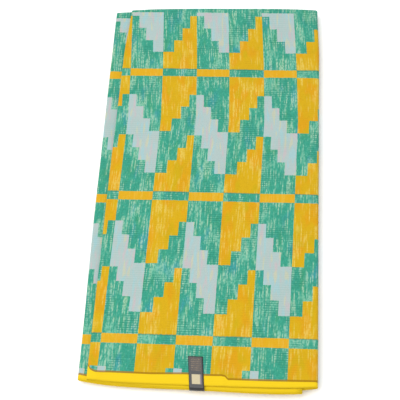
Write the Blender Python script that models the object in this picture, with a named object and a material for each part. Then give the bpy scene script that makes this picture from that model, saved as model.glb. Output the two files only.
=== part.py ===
"""Folded length of printed kente cloth with its label, as solids.

A cotton length is doubled across its width, so that both selvedges lie at the near end and the doubling fold
at the far end. It is then folded back and forth into six panels, the first of them tucked in under the top
one, and a label is stuck to the top and bent over the selvedges.

Metres, +X to the right, +Y from the selvedges to the doubling fold, +Z up. The origin is the middle of the
underside, on which the bundle lies flat.
"""

import math
from collections import namedtuple

import bpy
import numpy as np

# The cloth's layers
SHEET = 0.0010  # thickness of one sheet of cloth
SLIT = 0.0004  # gap between the two halves of the doubled cloth
LAYER_GAP = 0.0004  # gap between one panel and the next
LAYER = 2 * SHEET + SLIT  # the doubled cloth
PITCH = LAYER + LAYER_GAP  # one panel to the next
TOP_LEVEL = 5  # level of the top panel, counted up from the panel on the table
HALF_SHORT = 0.0012  # how far the second half's selvedge stops short of the first one's
PUFF = 0.05  # how much higher or lower the stack stands in places, as a share of its height
PUFF_LENGTH = 0.95  # one swell to the next along the bundle
PUFF_CREST = -0.02  # y of the swell's crest
PUFF_ACROSS = 0.57  # one swell to the next across the bundle
PUFF_SLANT = 0.45  # how much the swells across shift in x for each metre in y
BULGE_POWER = 4  # how flat the bulge of a panel's ends is; 2 would be round

# The label
LABEL_WIDTH = 0.019
LABEL_THICK = 0.0010
LABEL_GAP = 0.0003  # clearance between the label and the cloth
LABEL_TOP = -0.256  # its upper end on the top panel
LABEL_EDGE = -0.2995  # the selvedges that it is bent over
LABEL_BEND = 0.0040  # inner radius of the bend
LABEL_TURN = math.radians(80)  # how far the bend goes round
LABEL_TAIL = 0.0010  # straight end past the bend
LABEL_CENTRE = 0.0010  # its middle across the bundle, at its upper end
LABEL_LEAN = 0.10  # sideways run for each metre towards the near end

# One row for each fold along the cloth, and for its two cut ends. x is the outermost line of the fold: at the
# near end, in the middle, at the shoulder and at the far corner. near and far are where its ends lie in y.
Fold = namedtuple("Fold", "what level_in level_out x_near x_middle x_shoulder x_corner near far")
FOLDS = (
    Fold("tucked end", 4, 4, 0.1380, 0.1360, 0.1330, 0.1300, -0.2978, 0.2900),
    Fold("top left", 4, 5, -0.1370, -0.1375, -0.1365, -0.1325, -0.2915, 0.2927),
    Fold("top right", 5, 3, 0.1572, 0.1560, 0.1552, 0.1520, -0.2900, 0.2975),
    Fold("second left", 3, 2, -0.1492, -0.1538, -0.1556, -0.1562, -0.2920, 0.2922),
    Fold("second right", 2, 1, 0.1545, 0.1540, 0.1532, 0.1502, -0.2880, 0.2935),
    Fold("third left", 1, 0, -0.1478, -0.1518, -0.1540, -0.1546, -0.2900, 0.2895),
    Fold("bottom end", 0, 0, 0.1480, 0.1475, 0.1460, 0.1440, -0.2890, 0.2900),
)
# One row for each panel between two folds: how far its near and far ends bulge past the line between them.
Panel = namedtuple("Panel", "what near_bulge far_bulge")
PANELS = (
    Panel("tucked", 0.0040, 0.0020),
    Panel("top", 0.0030, 0.0030),
    Panel("second", 0.0068, 0.0025),
    Panel("third", 0.0035, 0.0025),
    Panel("fourth", 0.0030, 0.0020),
    Panel("bottom", 0.0025, 0.0030),
)
LINE_AT = (0.0, 0.50, 0.85, 1.0)  # where a fold's four x values lie, from the near end to the far end

# How finely the solid is cut up
PANEL_STEPS = 7
FOLD_STEPS = 6
LENGTH_STEPS = 11
DOUBLING_STEPS = 6
LABEL_STEPS = 8
SHARP_EDGE = math.radians(50)  # edges that turn by more than this are shaded sharp

# Colours, roughness
TEAL = (0.072, 0.430, 0.310, 1.0)
LABEL_BLACK = (0.006, 0.006, 0.008, 1.0)
CLOTH_ROUGH = 0.75
LABEL_ROUGH = 0.45


def level_height(level):
    """Height of the middle of the doubled cloth at a level."""
    return LAYER / 2 + level * PITCH


def fold_side(fold):
    return 1 if fold.x_near > 0 else -1


def fold_radius(fold):
    """Radius of the doubled cloth's middle round a fold; a cut end has none."""
    return abs(level_height(fold.level_out) - level_height(fold.level_in)) / 2


def fold_line(fold, along):
    """The fold's outermost x for each share along its length, eased between the row's four values."""
    x = np.array([fold.x_near, fold.x_middle, fold.x_shoulder, fold.x_corner])
    which = np.clip(np.searchsorted(LINE_AT, along, side="right") - 1, 0, len(x) - 2)
    start, end = np.take(LINE_AT, which), np.take(LINE_AT, which + 1)
    share = np.clip((along - start) / (end - start), 0, 1)
    return x[which] + (x[which + 1] - x[which]) * (3 - 2 * share) * share**2


def turning_centre(fold, along):
    """x of the axis that the cloth turns round at a fold, or the cut end itself."""
    inset = fold_radius(fold) + LAYER / 2 if fold_radius(fold) else 0.0
    return fold_line(fold, along) - fold_side(fold) * inset


def doubled_section():
    """The U of the doubled cloth, from the first half's selvedge round the doubling fold to the second's.

    Each point has its share along the length and the way that the sheet faces there, as a unit pair: across
    the layer, and along it past the doubling fold's axis.
    """
    length = np.linspace(0, 1, LENGTH_STEPS + 1)
    turn = np.linspace(0, math.pi, DOUBLING_STEPS + 1)[1:-1]
    flat = np.zeros_like(length)
    share = np.concatenate([length, np.ones_like(turn), length[::-1]])
    across = np.concatenate([flat + 1, np.cos(turn), flat - 1])
    along = np.concatenate([flat, np.sin(turn), flat])
    return share, across, along


def panel_steps(panel, start, end, share):
    """A panel's straight run between two turning centres, as rows for folded_path."""
    steps = PANEL_STEPS + (fold_radius(end) == 0)
    for part in np.arange(steps) / PANEL_STEPS:
        bulge = 1 - (2 * part - 1) ** BULGE_POWER
        x = turning_centre(start, share) * (1 - part) + turning_centre(end, share) * part
        near = start.near * (1 - part) + end.near * part - panel.near_bulge * bulge
        far = start.far * (1 - part) + end.far * part + panel.far_bulge * bulge
        yield x, level_height(start.level_out), 0.0, fold_side(end), near, far


def fold_steps(end, share):
    """A fold's half circle, as rows for folded_path; the first half is on the outside where outer is 1."""
    way, radius = fold_side(end), fold_radius(end)
    rise = 1 if end.level_out > end.level_in else -1
    outer = -rise * way
    for turn in math.pi * np.arange(FOLD_STEPS) / FOLD_STEPS:
        out, up = math.sin(turn), -rise * math.cos(turn)
        x = turning_centre(end, share) + way * radius * out
        z = level_height(end.level_in) + rise * radius + radius * up
        yield x, z, outer * way * out, outer * up, end.near, end.far


def folded_path(share):
    """The doubled cloth's middle along the whole fold: x for each share along the length, z, the normal's x
    and z, and the y of its near and far ends. A panel is a straight run and a fold is half a circle.
    """
    rows = []
    for panel, start, end in zip(PANELS, FOLDS, FOLDS[1:]):
        rows += panel_steps(panel, start, end, share)
        if fold_radius(end):
            rows += fold_steps(end, share)
    return (np.array(column) for column in zip(*rows))


def puffed(x, y, z):
    """Heights with the stack's fullness: it grows in proportion to the height, so that no layers meet."""
    along = np.cos(2 * math.pi * (y - PUFF_CREST) / PUFF_LENGTH)
    across = np.cos(2 * math.pi * (x + PUFF_SLANT * y) / PUFF_ACROSS)
    return z * (1 + PUFF * (along + across) / 2)


def folded_cloth():
    """The cloth's outer and inner skins as grids: one row for each step of the folding path."""
    share, across, along = doubled_section()
    x, z, normal_x, normal_z, near, far = folded_path(share)
    first_half = (across > 0).astype(float)
    near = near[:, None] + HALF_SHORT * (1 - first_half)
    skins = []
    for offset in (LAYER / 2, SLIT / 2):
        y = near + (far[:, None] - LAYER / 2 - near) * share + offset * along
        skin_x = x + normal_x[:, None] * across * offset
        skin_z = z[:, None] + normal_z[:, None] * across * offset
        skins.append(np.stack([skin_x, y, puffed(skin_x, y, skin_z)], axis=-1))
    return skins


def label_skins():
    """The label's outer and inner skins: flat on the top panel, then bent down over the selvedges.

    Both follow one line in y and z that turns round the bend's centre, carried across the label's width.
    """
    inner_z = level_height(TOP_LEVEL) + LAYER / 2 + LABEL_GAP
    centre_y = LABEL_EDGE - LABEL_GAP + LABEL_BEND
    turn = np.linspace(0, LABEL_TURN, LABEL_STEPS + 1)
    flat_y = np.linspace(LABEL_TOP, centre_y, LABEL_STEPS + 1)[:-1]
    skins = []
    for thick in (LABEL_THICK, 0.0):
        radius = LABEL_BEND + thick
        y = np.concatenate([flat_y, centre_y - radius * np.sin(turn)])
        z = np.concatenate([flat_y * 0 + thick, radius * np.cos(turn) - LABEL_BEND]) + inner_z
        y = np.append(y, y[-1] - LABEL_TAIL * math.cos(LABEL_TURN))
        z = np.append(z, z[-1] - LABEL_TAIL * math.sin(LABEL_TURN))
        middle = LABEL_CENTRE + LABEL_LEAN * (LABEL_TOP - y)
        x = middle[:, None] + np.array([-0.5, 0.5]) * LABEL_WIDTH
        y, z = (np.repeat(column[:, None], 2, axis=1) for column in (y, z))
        top = np.full_like(x, inner_z - LABEL_GAP)
        lift = puffed(x, np.maximum(y, centre_y), top) - top
        skins.append(np.stack([x, y, z + lift], axis=-1))
    return skins


def closed_sheet(name, skins, material):
    """One closed body from two grids of points, joined round their rims."""
    rows, columns = skins[0].shape[:2]
    points = np.concatenate([skin.reshape(-1, 3) for skin in skins])
    outer = np.arange(rows * columns).reshape(rows, columns)
    inner = outer + rows * columns

    def strip(a, b):
        return np.stack([a[:-1], a[1:], b[1:], b[:-1]], axis=-1).reshape(-1, 4)

    skin_faces = np.stack([outer[:-1, :-1], outer[1:, :-1], outer[1:, 1:], outer[:-1, 1:]], axis=-1)
    faces = [skin_faces.reshape(-1, 4), skin_faces.reshape(-1, 4)[:, ::-1] + rows * columns]
    faces += [
        strip(outer[:, -1], inner[:, -1]),
        strip(outer[:, 0], inner[:, 0])[:, ::-1],
        strip(outer[-1], inner[-1])[:, ::-1],
        strip(outer[0], inner[0]),
    ]
    mesh = bpy.data.meshes.new(name)
    mesh.from_pydata(points.tolist(), [], np.concatenate(faces).tolist())
    if signed_volume(mesh) < 0:
        mesh.flip_normals()
    mesh.materials.append(material)
    mesh.shade_smooth()
    mesh.set_sharp_from_angle(angle=SHARP_EDGE)
    piece = bpy.data.objects.new(name, mesh)
    bpy.context.scene.collection.objects.link(piece)
    return piece


def signed_volume(mesh):
    """Six times the mesh's volume, negative where its faces point in."""
    mesh.calc_loop_triangles()
    total = 0.0
    for triangle in mesh.loop_triangles:
        a, b, c = (mesh.vertices[i].co for i in triangle.vertices)
        total += a.dot(b.cross(c))
    return total


def finish(name, colour, roughness):
    material = bpy.data.materials.new(name)
    material.use_nodes = True
    shader = material.node_tree.nodes["Principled BSDF"]
    shader.inputs["Base Color"].default_value = colour
    shader.inputs["Roughness"].default_value = roughness
    shader.inputs["Metallic"].default_value = 0.0
    return material


def centred(pieces):
    """The pieces' skins moved so that the middle of the whole underside is the origin."""
    points = np.concatenate([skin.reshape(-1, 3) for skins in pieces for skin in skins])
    low, high = points.min(axis=0), points.max(axis=0)
    shift = np.array([(low[0] + high[0]) / 2, (low[1] + high[1]) / 2, low[2]])
    return [[skin - shift for skin in skins] for skins in pieces]


for leftover in list(bpy.data.objects):
    bpy.data.objects.remove(leftover)

cloth_skins, label_skins_placed = centred([folded_cloth(), label_skins()])
closed_sheet("cloth", cloth_skins, finish("printed cotton", TEAL, CLOTH_ROUGH))
closed_sheet("label", label_skins_placed, finish("black label", LABEL_BLACK, LABEL_ROUGH))
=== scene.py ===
"""Looks of a folded length of printed kente cloth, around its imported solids.

One cotton sheet is doubled across its width, folded back and forth into six panels and laid flat, with a small
label bent over its selvedges. Metres, +X to the right, +Y from the selvedges to the doubling fold, +Z up.
"""

import math
from collections import namedtuple

import bpy
import numpy as np
from mathutils import Matrix, Vector


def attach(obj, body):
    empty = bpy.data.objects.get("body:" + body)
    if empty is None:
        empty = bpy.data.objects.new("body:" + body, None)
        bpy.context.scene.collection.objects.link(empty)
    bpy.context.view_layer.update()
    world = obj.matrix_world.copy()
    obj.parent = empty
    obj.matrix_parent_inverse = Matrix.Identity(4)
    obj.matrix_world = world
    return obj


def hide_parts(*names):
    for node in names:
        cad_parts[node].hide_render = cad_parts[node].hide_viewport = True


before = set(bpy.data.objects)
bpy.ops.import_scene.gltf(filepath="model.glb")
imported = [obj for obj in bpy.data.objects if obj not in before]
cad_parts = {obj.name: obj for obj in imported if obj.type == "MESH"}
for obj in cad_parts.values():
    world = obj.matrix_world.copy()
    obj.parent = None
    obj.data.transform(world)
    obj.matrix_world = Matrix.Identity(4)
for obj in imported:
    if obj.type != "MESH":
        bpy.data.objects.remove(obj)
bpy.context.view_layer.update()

# The cloth's form.
# One length of cotton, 1.83 m by 1.17 m. Both selvedges lie at the near end and the doubling fold at the far end.
# The doubled cloth then runs through the stack as one path: a tucked end, the top panel, and four panels below.

FABRIC = 0.0005  # thickness of the cotton
LAYER = 0.0024  # doubled cloth, from one printed face to the other
PITCH = 0.0028  # one panel to the next
TOP_LEVEL = 5
HALF_SHORT = 0.0012  # how far the second half's selvedge stops short of the first one's
AXES_TO_PART = np.array([-0.0005, 0.00093, 0.0])  # from the top panel's own axes to the middle of the underside

# One row for each fold along the cloth, and for its two cut ends. x is the outermost line of the fold: at the
# near end, in the middle, at the shoulder and at the far corner. near and far are where its ends lie in y.
Fold = namedtuple("Fold", "what level_in level_out x_near x_middle x_shoulder x_corner near far steps")
FOLDS = (
    Fold("tucked end", 4, 4, 0.1380, 0.1360, 0.1330, 0.1300, -0.2978, 0.2900, 0),
    Fold("top left", 4, 5, -0.1370, -0.1375, -0.1365, -0.1325, -0.2915, 0.2927, 9),
    Fold("top right", 5, 3, 0.1572, 0.1560, 0.1552, 0.1520, -0.2900, 0.2975, 14),
    Fold("second left", 3, 2, -0.1492, -0.1538, -0.1556, -0.1562, -0.2920, 0.2922, 9),
    Fold("second right", 2, 1, 0.1545, 0.1540, 0.1532, 0.1502, -0.2880, 0.2935, 8),
    Fold("third left", 1, 0, -0.1478, -0.1518, -0.1540, -0.1546, -0.2900, 0.2895, 8),
    Fold("bottom end", 0, 0, 0.1480, 0.1475, 0.1460, 0.1440, -0.2890, 0.2900, 0),
)
# One row for each panel: how far its ends bulge past the line between its two folds, and how finely it is cut up.
Panel = namedtuple("Panel", "what near_bulge far_bulge steps")
PANELS = (
    Panel("tucked", 0.0040, 0.0020, 16),
    Panel("top", 0.0030, 0.0030, 84),
    Panel("second", 0.0068, 0.0025, 26),
    Panel("third", 0.0035, 0.0025, 16),
    Panel("fourth", 0.0030, 0.0020, 14),
    Panel("bottom", 0.0025, 0.0030, 14),
)
LINE_AT = (0.0, 0.50, 0.85, 1.0)  # where a fold's four x values lie, from the near end to the far end
BULGE_POWER = 4

PUFF = 0.05  # how much higher or lower the stack stands in places, as a share of its height
PUFF_LENGTH, PUFF_CREST = 0.95, -0.02  # one swell to the next along the bundle, and a crest's y
PUFF_ACROSS, PUFF_SLANT = 0.57, 0.45  # one swell to the next across it, and its shift in x for each metre in y

# One row for each crease or soft ridge that shows on the top panel: a line from (x, y) to (end_x, end_y).
Crease = namedtuple("Crease", "what x y end_x end_y height width")
CREASES = (
    Crease("diagonal at the far left", -0.1330, 0.2225, -0.1160, 0.2370, -0.0011, 0.0022),
    Crease("ridge beside it", -0.1350, 0.2300, -0.1190, 0.2440, 0.0007, 0.0040),
    Crease("dog-ear", -0.1330, 0.2720, -0.1120, 0.2900, -0.0006, 0.0040),
    Crease("curl at the near left", -0.1360, -0.2660, -0.1240, -0.2850, 0.0012, 0.0050),
    Crease("tuck beside the label", 0.0400, -0.2620, 0.0430, -0.2920, -0.0010, 0.0024),
    Crease("ridge of the tuck", 0.0370, -0.2560, 0.0390, -0.2920, 0.0007, 0.0035),
    Crease("long soft rise", -0.0700, 0.2300, -0.0350, -0.2100, 0.0006, 0.0200),
    Crease("long soft dip", 0.0750, 0.2500, 0.0550, -0.1900, -0.0006, 0.0220),
    Crease("slack at the right", 0.1300, 0.1300, 0.1200, -0.0900, 0.0005, 0.0100),
)
RELIEF_POWER = 3  # how quickly the creases fade from the top of the stack down


def level_height(level):
    """Height of the middle of the doubled cloth at a level."""
    return LAYER / 2 + level * PITCH


def eased(share):
    """A share from 0 to 1 that starts and ends gently: 3 s squared less 2 s cubed."""
    share = np.clip(share, 0, 1)
    return (3 - 2 * share) * share**2


def fold_side(fold):
    return 1 if fold.x_near > 0 else -1


def fold_radius(fold):
    return abs(level_height(fold.level_out) - level_height(fold.level_in)) / 2


def fold_line(fold, along):
    """The fold's outermost x for each share along its length, eased between the row's four values."""
    x = np.array([fold.x_near, fold.x_middle, fold.x_shoulder, fold.x_corner])
    which = np.clip(np.searchsorted(LINE_AT, along, side="right") - 1, 0, len(x) - 2)
    start, end = np.take(LINE_AT, which), np.take(LINE_AT, which + 1)
    return x[which] + (x[which + 1] - x[which]) * eased((along - start) / (end - start))


def turning_centre(fold, along):
    """x of the axis that the cloth turns round at a fold, or the cut end itself."""
    inset = fold_radius(fold) + LAYER / 2 if fold_radius(fold) else 0.0
    return fold_line(fold, along) - fold_side(fold) * inset


def panel_rows(panel, start, end, share):
    """A panel's straight run between two turning centres, closer together towards both folds."""
    steps = np.arange(panel.steps + (fold_radius(end) == 0)) / panel.steps
    for part in steps * 0.45 + eased(steps) * 0.55:
        bulge = 1 - (2 * part - 1) ** BULGE_POWER
        x = turning_centre(start, share) * (1 - part) + turning_centre(end, share) * part
        near = start.near * (1 - part) + end.near * part - panel.near_bulge * bulge
        far = start.far * (1 - part) + end.far * part + panel.far_bulge * bulge
        yield x, level_height(start.level_out), 0.0, fold_side(end), near, far


def fold_rows(end, share):
    """A fold's half circle; the first half of the cloth is on its outside where outer is 1."""
    way, radius = fold_side(end), fold_radius(end)
    rise = 1 if end.level_out > end.level_in else -1
    outer = -rise * way
    for turn in math.pi * np.arange(end.steps) / end.steps:
        out, up = math.sin(turn), -rise * math.cos(turn)
        x = turning_centre(end, share) + way * radius * out
        z = level_height(end.level_in) + rise * radius + radius * up
        yield x, z, outer * way * out, outer * up, end.near, end.far


def doubled_section():
    """The U of the doubled cloth, from the first half's selvedge round the doubling fold to the second's.

    Each point has its share along the length and the way that its printed face looks, as a unit pair: across
    the layer, and along it past the doubling fold's axis. Points are closer together at both ends.
    """
    first = np.concatenate([np.linspace(0, 0.07, 14)[:-1], np.linspace(0.07, 0.84, 46)[:-1], np.linspace(0.84, 1, 22)])
    second = np.concatenate([np.linspace(1, 0.93, 7)[:-1], np.linspace(0.93, 0.07, 24)[:-1], np.linspace(0.07, 0, 8)])
    turn = np.linspace(0, math.pi, 11)[1:-1]
    share = np.concatenate([first, np.ones_like(turn), second])
    across = np.concatenate([np.ones_like(first), np.cos(turn), -np.ones_like(second)])
    along = np.concatenate([0 * first, np.sin(turn), 0 * second])
    return share, across, along


def stack_height(x, y, z):
    """Heights with the stack's fullness and its creases.

    Swells grow in proportion to the height. Creases are soft ridges or troughs, bell-shaped across their line
    and fading past its ends, and they fade downwards with the height to the power RELIEF_POWER.
    """
    along = np.cos(2 * math.pi * (y - PUFF_CREST) / PUFF_LENGTH)
    across = np.cos(2 * math.pi * (x + PUFF_SLANT * y) / PUFF_ACROSS)
    top = level_height(TOP_LEVEL) + LAYER / 2
    relief = 0.00016 * np.sin(2 * math.pi * (x + 0.3 * y) / 0.093) * np.cos(2 * math.pi * (y - 0.2 * x) / 0.21)
    for crease in CREASES:
        run = np.array([crease.end_x - crease.x, crease.end_y - crease.y])
        length = np.hypot(*run)
        step_x, step_y = x - crease.x, y - crease.y
        part = (step_x * run[0] + step_y * run[1]) / length**2
        aside = (step_x * run[1] - step_y * run[0]) / length
        past = np.clip(np.abs(part - 0.5) - 0.5, 0, None) * length
        relief = relief + crease.height * np.exp(-(aside**2 + past**2) / crease.width**2)
    return z * (1 + PUFF * (along + across) / 2) + relief * np.clip(z / top, 0, 1) ** RELIEF_POWER


share, across, along = doubled_section()
rows = []
panel_start = []  # the row at which each panel begins
for panel, start, end in zip(PANELS, FOLDS, FOLDS[1:]):
    panel_start.append(len(rows))
    rows += panel_rows(panel, start, end, share)
    if fold_radius(end):
        rows += fold_rows(end, share)
x, z, normal_x, normal_z, near, far = (np.array(column) for column in zip(*rows))
first_half = across > 0
near = near[:, None] + HALF_SHORT * (1 - first_half)
cloth_y = near + (far[:, None] - LAYER / 2 - near) * share + LAYER / 2 * along
cloth_x = x + normal_x[:, None] * across * LAYER / 2
flat_z = z[:, None] + normal_z[:, None] * across * LAYER / 2
cloth_points = np.stack([cloth_x, cloth_y, stack_height(cloth_x, cloth_y, flat_z)], axis=-1)

# The print's place on the cloth.
# The repeats run along the length, so the first UV map counts metres along the cloth from the print's own column
# and metres from the doubling fold towards the selvedges. A second one has the line where the print ends.

FIRST_COLUMN = -0.12359  # x of a column's left edge on the top panel
COLUMN_SPREAD = 0.0273  # how much wider the columns come out for each metre towards the far end
DOUBLING_LINE = 0.2970  # y from which the first half's rows are counted
SECOND_DOUBLING_LINE = 0.2925
SECOND_COLUMN = 0.0010  # the second half's column starts this far round the second panel's left fold

# How far the print is eased sideways and towards the selvedges at some places along the top panel.
Ease = namedtuple("Ease", "y bow drift")
EASES = (
    Ease(-0.300, -0.0004, -0.0004),
    Ease(-0.230, 0.0002, -0.0029),
    Ease(-0.150, 0.0009, -0.0010),
    Ease(-0.100, 0.0017, -0.0012),
    Ease(-0.005, 0.0028, -0.0008),
    Ease(0.050, 0.0034, -0.0020),
    Ease(0.100, 0.0041, -0.0009),
    Ease(0.190, -0.0001, -0.0018),
    Ease(0.240, -0.0035, -0.0008),
    Ease(0.262, -0.0050, 0.0014),
    Ease(0.290, -0.0069, 0.0042),
)
# Where the brown line runs on the top panel, left to right; it steps at the small tuck beside the label.
Edge = namedtuple("Edge", "x y")
EDGE_LINE = (
    Edge(-0.1385, -0.2705), Edge(-0.1325, -0.2790), Edge(-0.1260, -0.2818), Edge(-0.107, -0.2812),
    Edge(-0.055, -0.2814), Edge(-0.010, -0.2797),
    Edge(0.015, -0.2806), Edge(0.039, -0.2802), Edge(0.044, -0.2849), Edge(0.087, -0.2846), Edge(0.152, -0.2831),
)
SELVEDGE_WIDTH = 0.0065  # from the same line to the cut edge on the other panels
ROW_TILT = 0.006  # how much further the rows lie for each metre to the right


def by_column(table, at, what):
    """Values of one named column of a table, in straight lines between its rows."""
    first, *_ = table[0]._fields
    return np.interp(at, [getattr(row, first) for row in table], [getattr(row, what) for row in table])


steps = np.linalg.norm(np.diff(np.stack([cloth_x, flat_z]), axis=1), axis=0)
run = np.concatenate([np.zeros((1, len(share))), np.cumsum(steps, axis=0)])
top_row = panel_start[1]
third_row = panel_start[3]
apex = third_row - FOLDS[3].steps // 2
ease_y = np.clip(cloth_y, -0.3, 0.3)
first_u = run - run[top_row] + cloth_x[top_row] - FIRST_COLUMN - by_column(EASES, ease_y, "bow")
first_u = first_u / (1 + COLUMN_SPREAD * cloth_y)
first_v = DOUBLING_LINE - cloth_y + by_column(EASES, ease_y, "drift") + ROW_TILT * cloth_x
second_u = run[apex] - run + SECOND_COLUMN
second_v = SECOND_DOUBLING_LINE - cloth_y
on_top = np.zeros(len(cloth_y), bool)
on_top[top_row - 5 : panel_start[2] - 7] = True
own_line = np.where(first_half, cloth_y[:, :1], cloth_y[:, -1:]) + SELVEDGE_WIDTH
line_y = np.where(on_top[:, None] & first_half, by_column(EDGE_LINE, cloth_x, "y"), own_line)
past_line = line_y - cloth_y


def sheet_mesh(name, points, layouts, split=None):
    """A mesh from a grid of points, one UV map for each named pair of layouts, with its faces' order turned so
    that the first one of the top panel looks up. Columns before split take a layout's first grid of u and v,
    and the others its second.
    """
    count, width = points.shape[:2]
    index = np.arange(count * width).reshape(count, width)
    corners = [index[:-1, :-1], index[1:, :-1], index[1:, 1:], index[:-1, 1:]]
    faces = np.stack(corners, axis=-1).reshape(-1, 4)
    mesh = bpy.data.meshes.new(name)
    mesh.from_pydata((points + AXES_TO_PART).reshape(-1, 3).tolist(), [], faces.tolist())
    column = np.tile(np.arange(width - 1), count - 1)
    for layer, (one, other) in layouts.items():
        picked = [np.stack(pair, axis=-1).reshape(-1, 2)[faces] for pair in (one, other or one)]
        late = column >= (split if split is not None else width)
        uv = np.where(late[:, None, None], picked[1], picked[0])
        mesh.uv_layers.new(name=layer).data.foreach_set("uv", uv.astype(np.float32).ravel())
    mesh.shade_smooth()
    return mesh


def finished(name, mesh, thickness, material):
    """An object of the mesh, given its thickness inwards from the printed face."""
    piece = bpy.data.objects.new(name, mesh)
    bpy.context.scene.collection.objects.link(piece)
    mesh.materials.append(material)
    solid = piece.modifiers.new("thickness", "SOLIDIFY")
    solid.thickness = thickness
    solid.offset = -1.0
    return piece


class Wire:
    """A value in a material that can be added, multiplied and compared as a number is."""

    def __init__(self, finish, socket):
        self.finish, self.socket = finish, socket

    def maths(self, operation, *others):
        return self.finish.node("ShaderNodeMath", {"operation": operation}, dict(enumerate((self, *others))))

    def reflected(self, operation, other):
        return self.finish.node("ShaderNodeMath", {"operation": operation}, {0: other, 1: self})

    def __add__(self, other):
        return self.maths("ADD", other)

    def __sub__(self, other):
        return self.maths("SUBTRACT", other)

    def __rsub__(self, other):
        return self.reflected("SUBTRACT", other)

    def __mul__(self, other):
        return self.maths("MULTIPLY", other)

    def __truediv__(self, other):
        return self.maths("DIVIDE", other)

    def __mod__(self, other):
        return self.maths("FLOORED_MODULO", other)

    def __gt__(self, other):
        return self.maths("GREATER_THAN", other)

    def __lt__(self, other):
        return self.maths("LESS_THAN", other)

    __radd__, __rmul__ = __add__, __mul__

    def clamped(self):
        return self.finish.node("ShaderNodeClamp", {}, {0: self})

    def between(self, low, high):
        """0 below low, 1 above high, and a smooth rise from one to the other."""
        settings = {"interpolation_type": "SMOOTHSTEP"}
        return self.finish.node("ShaderNodeMapRange", settings, {0: self, 1: low, 2: high, 3: 0.0, 4: 1.0})


class Finish:
    """A material in the making: node() adds any node and mix() joins two colours."""

    def __init__(self, name, **constants):
        self.material = bpy.data.materials.new(name)
        self.material.use_nodes = True
        self.tree = self.material.node_tree
        self.shader = self.tree.nodes["Principled BSDF"]
        for socket, value in constants.items():
            self.shader.inputs[socket.replace("_", " ")].default_value = value

    def node(self, kind, settings, sockets, output=0):
        made = self.tree.nodes.new(kind)
        for setting, value in settings.items():
            setattr(made, setting, value)
        for socket, value in sockets.items():
            if isinstance(value, Wire):
                self.tree.links.new(value.socket, made.inputs[socket])
            else:
                made.inputs[socket].default_value = value
        return Wire(self, made.outputs[output])

    def mix(self, factor, one, other, blend="MIX"):
        settings = {"data_type": "RGBA", "blend_type": blend}
        return self.node("ShaderNodeMix", settings, {0: factor, 6: one, 7: other}, 2)

    def uv(self, layer):
        """The two values of a UV map."""
        place = self.node("ShaderNodeUVMap", {"uv_map": layer}, {})
        return [self.node("ShaderNodeSeparateXYZ", {}, {0: place}, axis) for axis in (0, 1)]

    def noise(self, u, v, finest=2.0, layer=0.0):
        """Cloudy values round a half at a place, with one lump for each unit of u and v."""
        place = self.node("ShaderNodeCombineXYZ", {}, {0: u, 1: v, 2: layer})
        return self.node("ShaderNodeTexNoise", {}, {"Vector": place, "Scale": 1.0, "Detail": finest})

    def chance(self, u, v, layer=0.0):
        """One value from 0 to 1 for each whole step of u and v, in no order."""
        place = self.node("ShaderNodeCombineXYZ", {}, {0: u.maths("FLOOR"), 1: v.maths("FLOOR"), 2: layer})
        return self.node("ShaderNodeTexWhiteNoise", {"noise_dimensions": "3D"}, {"Vector": place})

    def feed(self, **links):
        for socket, wire in links.items():
            self.tree.links.new(wire.socket, self.shader.inputs[socket.replace("_", " ")])


LIT = 0.70  # a surface's own colour, as a share of how it looks under the studio's light


def colour(code):
    """A colour as it looks in the studio, written as a web code, in the linear values that the shader takes."""
    parts = [int(code[i : i + 2], 16) / 255 for i in (0, 2, 4)]
    return (*(LIT * (p / 12.92 if p <= 0.04045 else ((p + 0.055) / 1.055) ** 2.4) for p in parts), 1.0)


# The printed cotton.
# Two kinds of column stand side by side, one with grey steps on teal and one with teal steps on yellow. Stripes
# cross them once in each repeat. Fine pale threads run along the columns, as in the strip weaving it imitates.

COLUMN_REPEAT = 0.098318
GREY_SHARE = 0.4875  # share of a repeat that the grey column takes
GREY_STEPS_AT = (0.23, 0.45, 0.68)
YELLOW_STEPS_AT = (0.32, 0.57, 0.80)
ROW_REPEAT = 0.2064
ROW_START = 0.1229  # from the doubling fold to the first full repeat
STEP = 0.0208
GREY_FROM, GREY_TO = 0.0326, 0.1009
YELLOW_TO, YELLOW_AGAIN = 0.0950, 0.1635
STRIPE_FROM = 0.1932
PLAIN_BAND = 0.0115  # from the doubling fold

TEAL, BLUE_TEAL, GREEN_TEAL, DARK_TEAL = (colour(c) for c in ("3FA98E", "3F9EB0", "48A87C", "237A66"))
MINT, PALE_MINT = colour("9FDDBF"), colour("D2EBCB")
GREY, GREY_PINK, GREY_BLUE, GREY_YELLOW = (colour(c) for c in ("B5C7C5", "CABCC0", "A9CCD0", "CACBB0"))
YELLOW, YELLOW_ORANGE, YELLOW_OLIVE = (colour(c) for c in ("DCB00E", "E2A50C", "CFB008"))
PALE_YELLOW, DARK_YELLOW = colour("F3DC74"), colour("BE9410")
STRIPE_YELLOW, SELVEDGE, BROWN = colour("E8AE20"), colour("F8D21A"), colour("A67A0A")

cotton = Finish("printed cotton", Roughness=0.85, Sheen_Weight=0.05, Sheen_Roughness=0.5, Specular_IOR_Level=0.15)
u, v = cotton.uv("print")
_, past = cotton.uv("edge")

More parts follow.
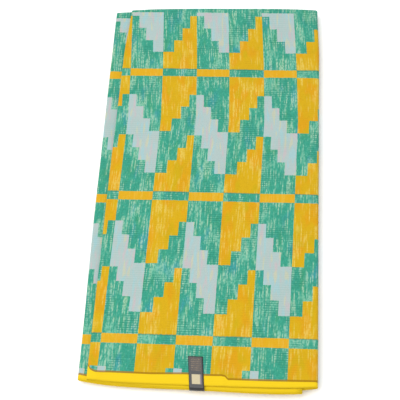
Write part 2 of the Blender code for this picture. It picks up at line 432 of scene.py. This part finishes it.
thread_jitter = cotton.noise(u * 900.0, v * 260.0, 1.0) - 0.5
printed_u = u + thread_jitter * 0.0008
printed_v = v + (cotton.noise(u * 420.0, v * 60.0, 1.0, 3.0) - 0.5) * 0.0016
across_repeat = (printed_u / COLUMN_REPEAT).maths("FRACT")
in_yellow = across_repeat > GREY_SHARE
in_grey = 1 - in_yellow
grey_part = across_repeat / GREY_SHARE
yellow_part = (across_repeat - GREY_SHARE) / (1 - GREY_SHARE)
grey_step = sum(((grey_part > at) for at in GREY_STEPS_AT[1:]), grey_part > GREY_STEPS_AT[0]) * STEP
yellow_step = sum(((yellow_part > at) for at in YELLOW_STEPS_AT[1:]), yellow_part > YELLOW_STEPS_AT[0]) * STEP
down_repeat = (printed_v - ROW_START) % ROW_REPEAT
stripe = down_repeat > STRIPE_FROM
grey_row = down_repeat - grey_step
yellow_row = down_repeat + yellow_step
body = (1 - stripe) * (printed_v > PLAIN_BAND)
grey_mask = in_grey * body * (grey_row > GREY_FROM) * (grey_row < GREY_TO)
yellow_mask = in_yellow * body * (1 - (yellow_row > YELLOW_TO) * (yellow_row < YELLOW_AGAIN))
stripe_mask = in_grey * stripe

# Threads about 1.5 mm apart show as upright chains of short uneven dashes, thick in some places and missing in
# others. In some places the dashes line up in rows.
THREADS, DASH_ROWS = 680.0, 315.0  # to the metre
thread, dash_row = (u * THREADS).maths("FLOOR"), v * DASH_ROWS
rung = ((dash_row.maths("FRACT") - 0.5).maths("ABSOLUTE")).between(0.24, 0.38)
rung = rung * cotton.noise(u * 38.0, v * 30.0, 1.0, 21.0).between(0.46, 0.60)
chain = cotton.noise(thread * 7.31, v * 34.0, 1.0, 1.0)
bits = cotton.noise(thread * 3.73, v * 250.0, 1.0, 3.0)
thickness = cotton.noise(u * 42.0, v * 24.0, 1.0, 2.0)
speck = cotton.chance(u * THREADS * 1.3, dash_row * 1.7, 8.0)

# Teal: blue and green patches, dark specks and pale dashes
patch = cotton.noise(u * 55.0, v * 22.0, 2.0, 5.0)
teal = cotton.mix(patch.between(0.54, 0.74) * 0.75, TEAL, BLUE_TEAL)
teal = cotton.mix(cotton.noise(u * 90.0, v * 26.0, 2.0, 9.0).between(0.52, 0.72) * 0.8, teal, GREEN_TEAL)
teal = cotton.mix(speck * 0.30 + rung * 0.35, teal, DARK_TEAL)
laced = (chain * 0.6 + thickness * 0.4).between(0.47, 0.57) * (bits.between(0.34, 0.60) * 0.75 + 0.25)
laced = (laced + bits.between(0.60, 0.72) * 0.5).clamped() * (1 - rung * 0.8)
teal = cotton.mix((1 - laced) * bits.between(0.50, 0.36) * 0.25, teal, DARK_TEAL)
teal = cotton.mix(laced * 0.50, teal, cotton.mix(chain.between(0.50, 0.64), MINT, PALE_MINT))

# Yellow: slow changes between olive and orange, with long pale threads and a few dark ones
yellow = cotton.mix(patch.between(0.45, 0.62), YELLOW, YELLOW_ORANGE)
yellow = cotton.mix(cotton.noise(u * 70.0, v * 30.0, 1.0, 11.0).between(0.56, 0.68) * 0.7, yellow, YELLOW_OLIVE)
yellow = cotton.mix(speck * 0.16, yellow, DARK_YELLOW)
yellow_laced = (cotton.noise(thread * 5.17, v * 36.0, 1.0, 13.0) * 0.65 + thickness * 0.35).between(0.49, 0.64)
yellow = cotton.mix(rung * 0.22 + bits.between(0.60, 0.70) * 0.25, yellow, DARK_YELLOW)
yellow = cotton.mix(yellow_laced * (bits.between(0.36, 0.56) * 0.35 + 0.15), yellow, PALE_YELLOW)

# Grey: faint upright tints
tint = cotton.noise(u * 190.0, v * 30.0, 2.0, 15.0)
grey = cotton.mix(tint.between(0.54, 0.66) * 0.8, GREY, GREY_PINK)
grey = cotton.mix((1 - tint.between(0.36, 0.47)) * 0.9, grey, GREY_BLUE)
grey = cotton.mix(cotton.noise(u * 230.0, v * 40.0, 0.0, 17.0).between(0.62, 0.72) * 0.8, grey, GREY_YELLOW)
grey = cotton.mix(speck * 0.06 + rung * 0.10, grey, TEAL)

face = cotton.mix(grey_mask, teal, grey)
face = cotton.mix((yellow_mask + stripe_mask).clamped(), face, yellow)
face = cotton.mix(stripe_mask * 0.6, face, STRIPE_YELLOW)
beside_stripe = (down_repeat - STRIPE_FROM).maths("ABSOLUTE") < 0.0008
face = cotton.mix(beside_stripe * in_yellow * 0.5, face, DARK_TEAL)
selvedge = past > 0.0
brown_line = (past > -0.0022) * (past < 0.0004)
face = cotton.mix(selvedge, face, SELVEDGE)
face = cotton.mix(brown_line * 0.85, face, BROWN)

# The cotton's plain weave, about 24 threads to the centimetre, under a slight rib across the cloth
WEAVE = 2 * math.pi * 2400
weave = (u * WEAVE).maths("SINE") * (v * WEAVE).maths("SINE")
rib = (v * (2 * math.pi * 430) + thread_jitter * 2.0).maths("SINE")
relief = weave * 0.5 + rib * 0.35 + cotton.noise(u * 700.0, v * 220.0, 2.0, 19.0)
bump = cotton.node("ShaderNodeBump", {}, {"Strength": 0.25, "Distance": 0.0002, "Height": relief})
face = cotton.mix((rib * 0.5 + 0.5) * 0.10, face, cotton.mix(1.0, face, (0.55, 0.60, 0.58, 1.0), "MULTIPLY"))
cotton.feed(Base_Color=face, Normal=bump)

split = int(np.argmin(np.abs(across)))
layouts = {"print": ((first_u, first_v), (second_u, second_v)), "edge": ((run, past_line), None)}
cloth_mesh = sheet_mesh("kente_cloth", cloth_points, layouts, split)
cloth = finished("kente_cloth", cloth_mesh, FABRIC, cotton.material)
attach(cloth, "root")
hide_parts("cloth")

# The label.
# A narrow strip of black tape, stuck to the top panel and bent down over the selvedges. It carries a bronze
# panel of plain lozenges, and a cream one below it.

LABEL_WIDTH = 0.019
LABEL_THICK = 0.0004
LABEL_GAP = 0.0002
LABEL_TOP = -0.256
LABEL_EDGE = -0.2995
LABEL_BEND = 0.0044  # outer radius of the bend
LABEL_TURN = math.radians(80)
LABEL_TAIL = 0.0010
LABEL_CENTRE = 0.0010
LABEL_LEAN = 0.10

turn = np.linspace(0, LABEL_TURN, 13)
bend_y = LABEL_EDGE + LABEL_BEND - 0.0003
flat_y = np.linspace(LABEL_TOP, bend_y, 30)[:-1]
label_top_z = level_height(TOP_LEVEL) + LAYER / 2 + LABEL_GAP + LABEL_THICK
label_y = np.concatenate([flat_y, bend_y - LABEL_BEND * np.sin(turn)])
label_z = np.concatenate([0 * flat_y, LABEL_BEND * (np.cos(turn) - 1)]) + label_top_z
label_y = np.append(label_y, label_y[-1] - LABEL_TAIL * math.cos(LABEL_TURN))
label_z = np.append(label_z, label_z[-1] - LABEL_TAIL * math.sin(LABEL_TURN))
label_run = np.concatenate([[0], np.cumsum(np.hypot(np.diff(label_y), np.diff(label_z)))])
label_across = np.linspace(-0.5, 0.5, 13) * LABEL_WIDTH
grid_x = (LABEL_CENTRE + LABEL_LEAN * (LABEL_TOP - label_y))[:, None] + label_across
grid_y, grid_z = (np.repeat(c[:, None], len(label_across), axis=1) for c in (label_y, label_z))
under = np.full_like(grid_x, level_height(TOP_LEVEL) + LAYER / 2)
lift = stack_height(grid_x, np.maximum(grid_y, bend_y), under) - under
label_points = np.stack([grid_x, grid_y, grid_z + lift], axis=-1)

LABEL_BLACK, LABEL_BROWN = colour("0D0D10"), colour("33261C")
BRONZE, CREAM, PURPLE = colour("8E7450"), colour("CDBE93"), colour("4B3466")
coated = Finish("black label", Roughness=0.38, Coat_Weight=0.25, Coat_Roughness=0.25)
s, t = coated.uv("label")


def framed(wire, middle, half, soft=0.0006):
    """1 within half of middle, 0 outside, with a soft rim."""
    return 1 - (wire - middle).maths("ABSOLUTE").between(half - soft, half)


wear = coated.noise(s * 900.0, t * 900.0, 3.0)
upper = framed(s, 0.0002, 0.0068) * framed(t, 0.0105, 0.0090)
lower = framed(s, 0.0004, 0.0064) * framed(t, 0.0300, 0.0066)
lozenge = ((s * 620.0).maths("FRACT") - 0.5).maths("ABSOLUTE") + ((t * 360.0).maths("FRACT") - 0.5).maths("ABSOLUTE")
lozenges = 1 - lozenge.between(0.30, 0.42)
ink = coated.mix(upper * 0.9, LABEL_BLACK, LABEL_BROWN)
ink = coated.mix(upper * lozenges * wear.between(0.40, 0.60), ink, BRONZE)
ink = coated.mix(lower * (0.75 + wear * 0.4).clamped(), ink, CREAM)
ink = coated.mix(lower * framed(s, 0.0062, 0.0022, 0.0016) * 0.85, ink, PURPLE)
scuff = coated.node("ShaderNodeBump", {}, {"Strength": 0.15, "Distance": 0.0001, "Height": wear})
coated.feed(Base_Color=ink, Normal=scuff)

label_layouts = {"label": ((np.tile(label_across, (len(label_y), 1)), np.repeat(label_run[:, None], 13, axis=1)), None)}
label = finished("label_strip", sheet_mesh("label_strip", label_points, label_layouts), LABEL_THICK, coated.material)
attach(label, "root")
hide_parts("label")

# The studio.
# A plain white floor, one broad soft light from the left and a pale sky, which leave a faint shadow at the right.

FLOOR_HALF = 4.0
corners = [(-1, -1), (1, -1), (1, 1), (-1, 1)]
floor_mesh = bpy.data.meshes.new("floor")
floor_mesh.from_pydata([(FLOOR_HALF * a, FLOOR_HALF * b, 0.0) for a, b in corners], [], [(0, 1, 2, 3)])
floor = bpy.data.objects.new("floor", floor_mesh)
bpy.context.scene.collection.objects.link(floor)
paper = Finish("white floor", Roughness=0.9, Specular_IOR_Level=0.1)
paper.shader.inputs["Base Color"].default_value = (0.90, 0.90, 0.90, 1.0)
floor_mesh.materials.append(paper.material)


def soft_light(name, place, size, watts):
    """A square area light at a place, turned to the middle of the cloth."""
    lamp = bpy.data.lights.new(name, "AREA")
    lamp.energy, lamp.size = watts, size
    light = bpy.data.objects.new(name, lamp)
    light.location = place
    light.rotation_euler = (-Vector(place)).to_track_quat("-Z", "Y").to_euler()
    bpy.context.scene.collection.objects.link(light)
    return light


soft_light("broad light", (-0.9, -0.2, 2.3), 2.6, 55.0)
world = bpy.data.worlds.new("pale sky")
world.use_nodes = True
world.node_tree.nodes["Background"].inputs["Color"].default_value = (1.0, 1.0, 1.0, 1.0)
world.node_tree.nodes["Background"].inputs["Strength"].default_value = 0.95
bpy.context.scene.world = world
bpy.context.scene.view_settings.view_transform = "Standard"

# The camera looks down from beyond the near end, a little to the right.
CAMERA_PLACE = AXES_TO_PART + (0.1057, -0.6549, 1.2437)
CAMERA_RIGHT, CAMERA_UP, CAMERA_BACK = (0.9963, 0.0611, -0.0604), (-0.0270, 0.8902, 0.4547), (0.0815, -0.4514, 0.8886)
lens = bpy.data.cameras.new("camera")
lens.lens, lens.sensor_width = 90.0, 36.0
camera = bpy.data.objects.new("camera", lens)
camera.matrix_world = Matrix.Translation(Vector(CAMERA_PLACE)) @ Matrix((CAMERA_RIGHT, CAMERA_UP, CAMERA_BACK)).transposed().to_4x4()
bpy.context.scene.collection.objects.link(camera)
bpy.context.scene.camera = camera
